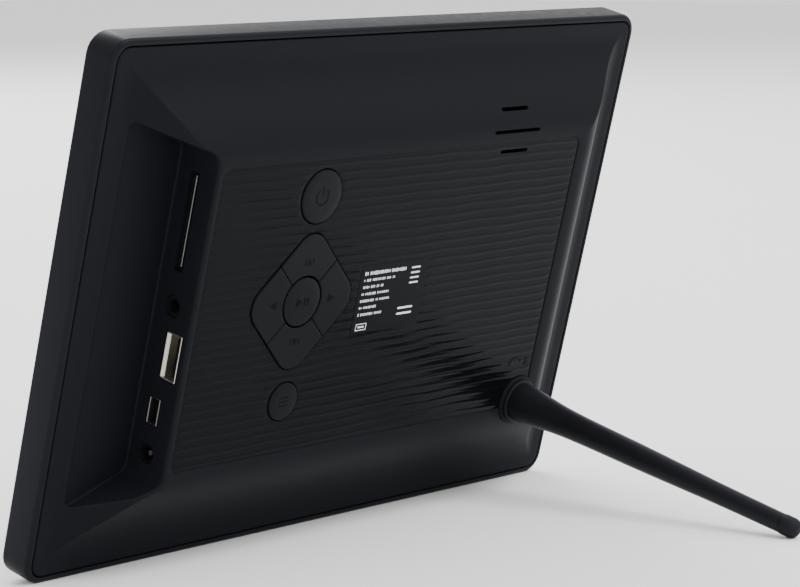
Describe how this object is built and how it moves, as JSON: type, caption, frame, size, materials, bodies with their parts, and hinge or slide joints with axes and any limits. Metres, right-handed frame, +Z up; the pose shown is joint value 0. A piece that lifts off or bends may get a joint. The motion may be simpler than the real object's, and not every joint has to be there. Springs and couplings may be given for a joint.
{
  "type": "digital photo frame",
  "caption": "Free-standing digital photo frame with a landscape display, a domed back with a side port bay and keys, and a screw-in rod leg.",
  "frame": {"origin": "centre of the bounding box on the table plane, under the frame's middle, with the frame leaned back and standing on its lower back edge and its leg", "axes": "+X to the right seen from the front, along the frame's long side; the display faces -Y and a little up; +Y to the back, towards the leg's foot; +Z up"},
  "size_m": [0.216, 0.1316, 0.1451],
  "materials": {
    "bezel_abs": "satin moulded black, faintly blue",
    "cover_abs": "satin moulded black with a ribbed field",
    "key_abs": "satin moulded black",
    "leg_abs": "smooth black",
    "grip_rubber": "soft black rubber",
    "display_glass": "dark anti-glare glass",
    "display_steel": "plain steel sheet",
    "foam": "closed-cell foam",
    "acrylic": "clear and diffusing acrylic",
    "board_laminate": "green glass laminate",
    "chip_epoxy": "black epoxy",
    "can_aluminium": "drawn cans",
    "socket_plastic": "black glass-filled nylon",
    "socket_steel": "bright nickel-plated steel",
    "contact_gold": "gold-plated contacts",
    "ribbon_film": "amber polyimide film",
    "cone_film": "thin film cone",
    "lead_insulation": "insulated thin wire",
    "label_film": null,
    "insert_brass": "turned brass",
    "screw_steel": "zinc-plated steel",
    "plunger_plastic": "black acetal"
  },
  "bodies": {
    "housing": {"back_cover": "cover_abs", "backlight_tray": "display_steel", "capacitor_cans": "can_aluminium", "dc_inlet_body": "socket_plastic", "dc_inlet_pin": "socket_steel", "diffuser_films": "acrylic", "display_clamps": "display_steel", "display_frame": "display_steel", "display_gasket": "foam", "display_glass": "display_glass", "display_ribbon": "ribbon_film", "display_screws": "screw_steel", "front_bezel": "bezel_abs", "headphone_jack": "socket_plastic", "key_board": "board_laminate", "key_board_screws": "screw_steel", "key_connector": "socket_plastic", "led_strip": "chip_epoxy", "leg_insert": "insert_brass", "light_guide": "acrylic", "main_board": "board_laminate", "main_board_screws": "screw_steel", "memory_chips": "chip_epoxy", "mini_usb_shell": "socket_steel", "mini_usb_tongue": "socket_plastic", "power_coils": "chip_epoxy", "processor_chip": "chip_epoxy", "rating_label": "label_film", "ribbon_socket": "socket_plastic", "sd_card_base": "socket_plastic", "sd_card_contacts": "contact_gold", "sd_card_shell": "socket_steel", "speaker_basket": "display_steel", "speaker_cone": "cone_film", "speaker_gasket": "foam", "speaker_leads": "lead_insulation", "speaker_magnet": "screw_steel", "switch_bodies": "socket_plastic", "usb_a_base": "socket_plastic", "usb_a_contacts": "contact_gold", "usb_a_shell": "socket_steel", "usb_a_tongue": "socket_plastic"},
    "power_key": {"power_button": "key_abs", "power_button_plunger": "plunger_plastic"},
    "play_key": {"play_button": "key_abs", "play_button_plunger": "plunger_plastic"},
    "menu_key": {"menu_button": "key_abs", "menu_button_plunger": "plunger_plastic"},
    "up_key": {"key_up": "key_abs", "key_up_plunger": "plunger_plastic"},
    "down_key": {"key_down": "key_abs", "key_down_plunger": "plunger_plastic"},
    "left_key": {"key_left": "key_abs", "key_left_plunger": "plunger_plastic"},
    "right_key": {"key_right": "key_abs", "key_right_plunger": "plunger_plastic"},
    "leg_collar": {"leg_washer": "grip_rubber"},
    "leg": {"leg_rod": "leg_abs", "leg_stud": "screw_steel", "leg_foot": "grip_rubber"}
  },
  "joints": [
    {"name": "power_press", "type": "slide", "parent": "housing", "child": "power_key", "axis": [0, -0.9667, 0.2559], "range_m": [0, 0.0005], "stiffness_N_per_m": 1200},
    {"name": "play_press", "type": "slide", "parent": "housing", "child": "play_key", "axis": [0, -0.9667, 0.2559], "range_m": [0, 0.0005], "stiffness_N_per_m": 1200},
    {"name": "menu_press", "type": "slide", "parent": "housing", "child": "menu_key", "axis": [0, -0.9667, 0.2559], "range_m": [0, 0.0005], "stiffness_N_per_m": 1200},
    {"name": "up_press", "type": "slide", "parent": "housing", "child": "up_key", "axis": [0, -0.9667, 0.2559], "range_m": [0, 0.0005], "stiffness_N_per_m": 1200},
    {"name": "down_press", "type": "slide", "parent": "housing", "child": "down_key", "axis": [0, -0.9667, 0.2559], "range_m": [0, 0.0005], "stiffness_N_per_m": 1200},
    {"name": "left_press", "type": "slide", "parent": "housing", "child": "left_key", "axis": [0, -0.9667, 0.2559], "range_m": [0, 0.0005], "stiffness_N_per_m": 1200},
    {"name": "right_press", "type": "slide", "parent": "housing", "child": "right_key", "axis": [0, -0.9667, 0.2559], "range_m": [0, 0.0005], "stiffness_N_per_m": 1200},
    {"name": "leg_travel", "type": "slide", "parent": "housing", "child": "leg_collar", "axis": [0, 0.9667, -0.2559], "range_m": [0, 0.007]},
    {"name": "leg_turn", "type": "hinge", "parent": "leg_collar", "child": "leg", "pos_m": [-0.0707, -0.03365, 0.02857], "axis": [0, 0.9667, -0.2559], "range_deg": [0, 2521]}
  ],
  "couplings": [
    {"joint": "leg_turn", "follows": "leg_travel", "rad_per_m": 6283.2}
  ]
}
